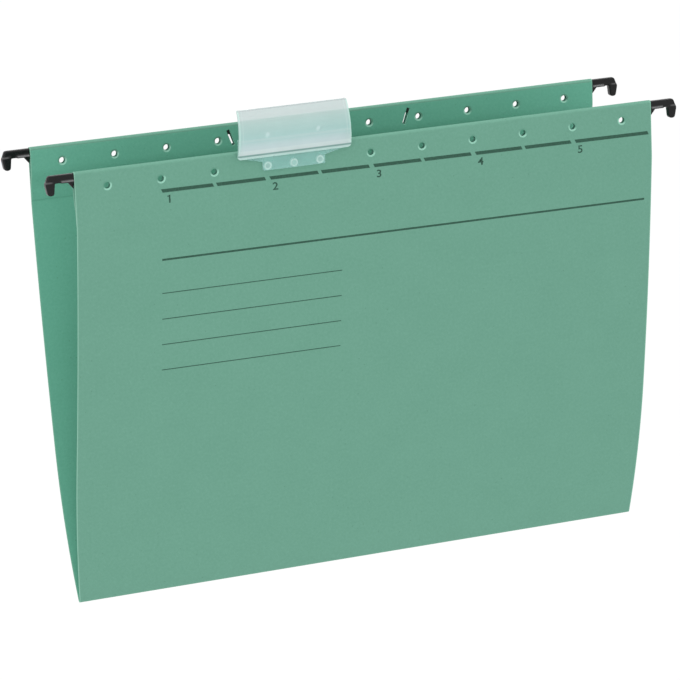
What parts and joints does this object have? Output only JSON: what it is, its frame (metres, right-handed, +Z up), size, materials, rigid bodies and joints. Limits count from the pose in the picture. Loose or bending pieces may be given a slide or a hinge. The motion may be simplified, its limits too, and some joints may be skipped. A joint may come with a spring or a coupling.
{
  "type": "hanging file folder",
  "caption": "Hanging file folder of folded card with hemmed tops on rails, moulded end hooks, punched tab holes and a clear plug-in index tab.",
  "frame": {"origin": "middle of the four hook seats, on the plane of the hook bars' undersides that rests on the drawer's rails", "axes": "+X along the folder's width to the right as seen from the front, +Y from the front leaf to the rear leaf, +Z up"},
  "size_m": [0.348, 0.0792, 0.2553],
  "materials": {
    "card": "matte recycled card, mid green",
    "hook": "satin black moulded plastic",
    "rail": "black painted steel strip",
    "clear_tab": "clear, slightly milky moulded plastic",
    "glue": "thin pale glue film"
  },
  "bodies": {
    "rear_half": {"rear_panel": "card", "rear_hem_glue": "glue", "rear_rail": "rail", "rear_left_hook": "hook", "rear_right_hook": "hook", "fold_crease": "card"},
    "front_half": {"front_panel": "card", "front_hem_glue": "glue", "front_rail": "rail", "front_left_hook": "hook", "front_right_hook": "hook"},
    "tab": {"index_tab": "clear_tab"}
  },
  "joints": [
    {"name": "front_fold", "type": "hinge", "parent": "rear_half", "child": "front_half", "pos_m": [0, 0, -0.2283], "axis": [1, 0, 0], "range_deg": [-15.5, 145], "deforming": ["fold_crease"]},
    {"name": "tab_pull", "type": "slide", "parent": "front_half", "child": "tab", "axis": [0, -1, 0], "range_m": [0, 0.015]}
  ]
}
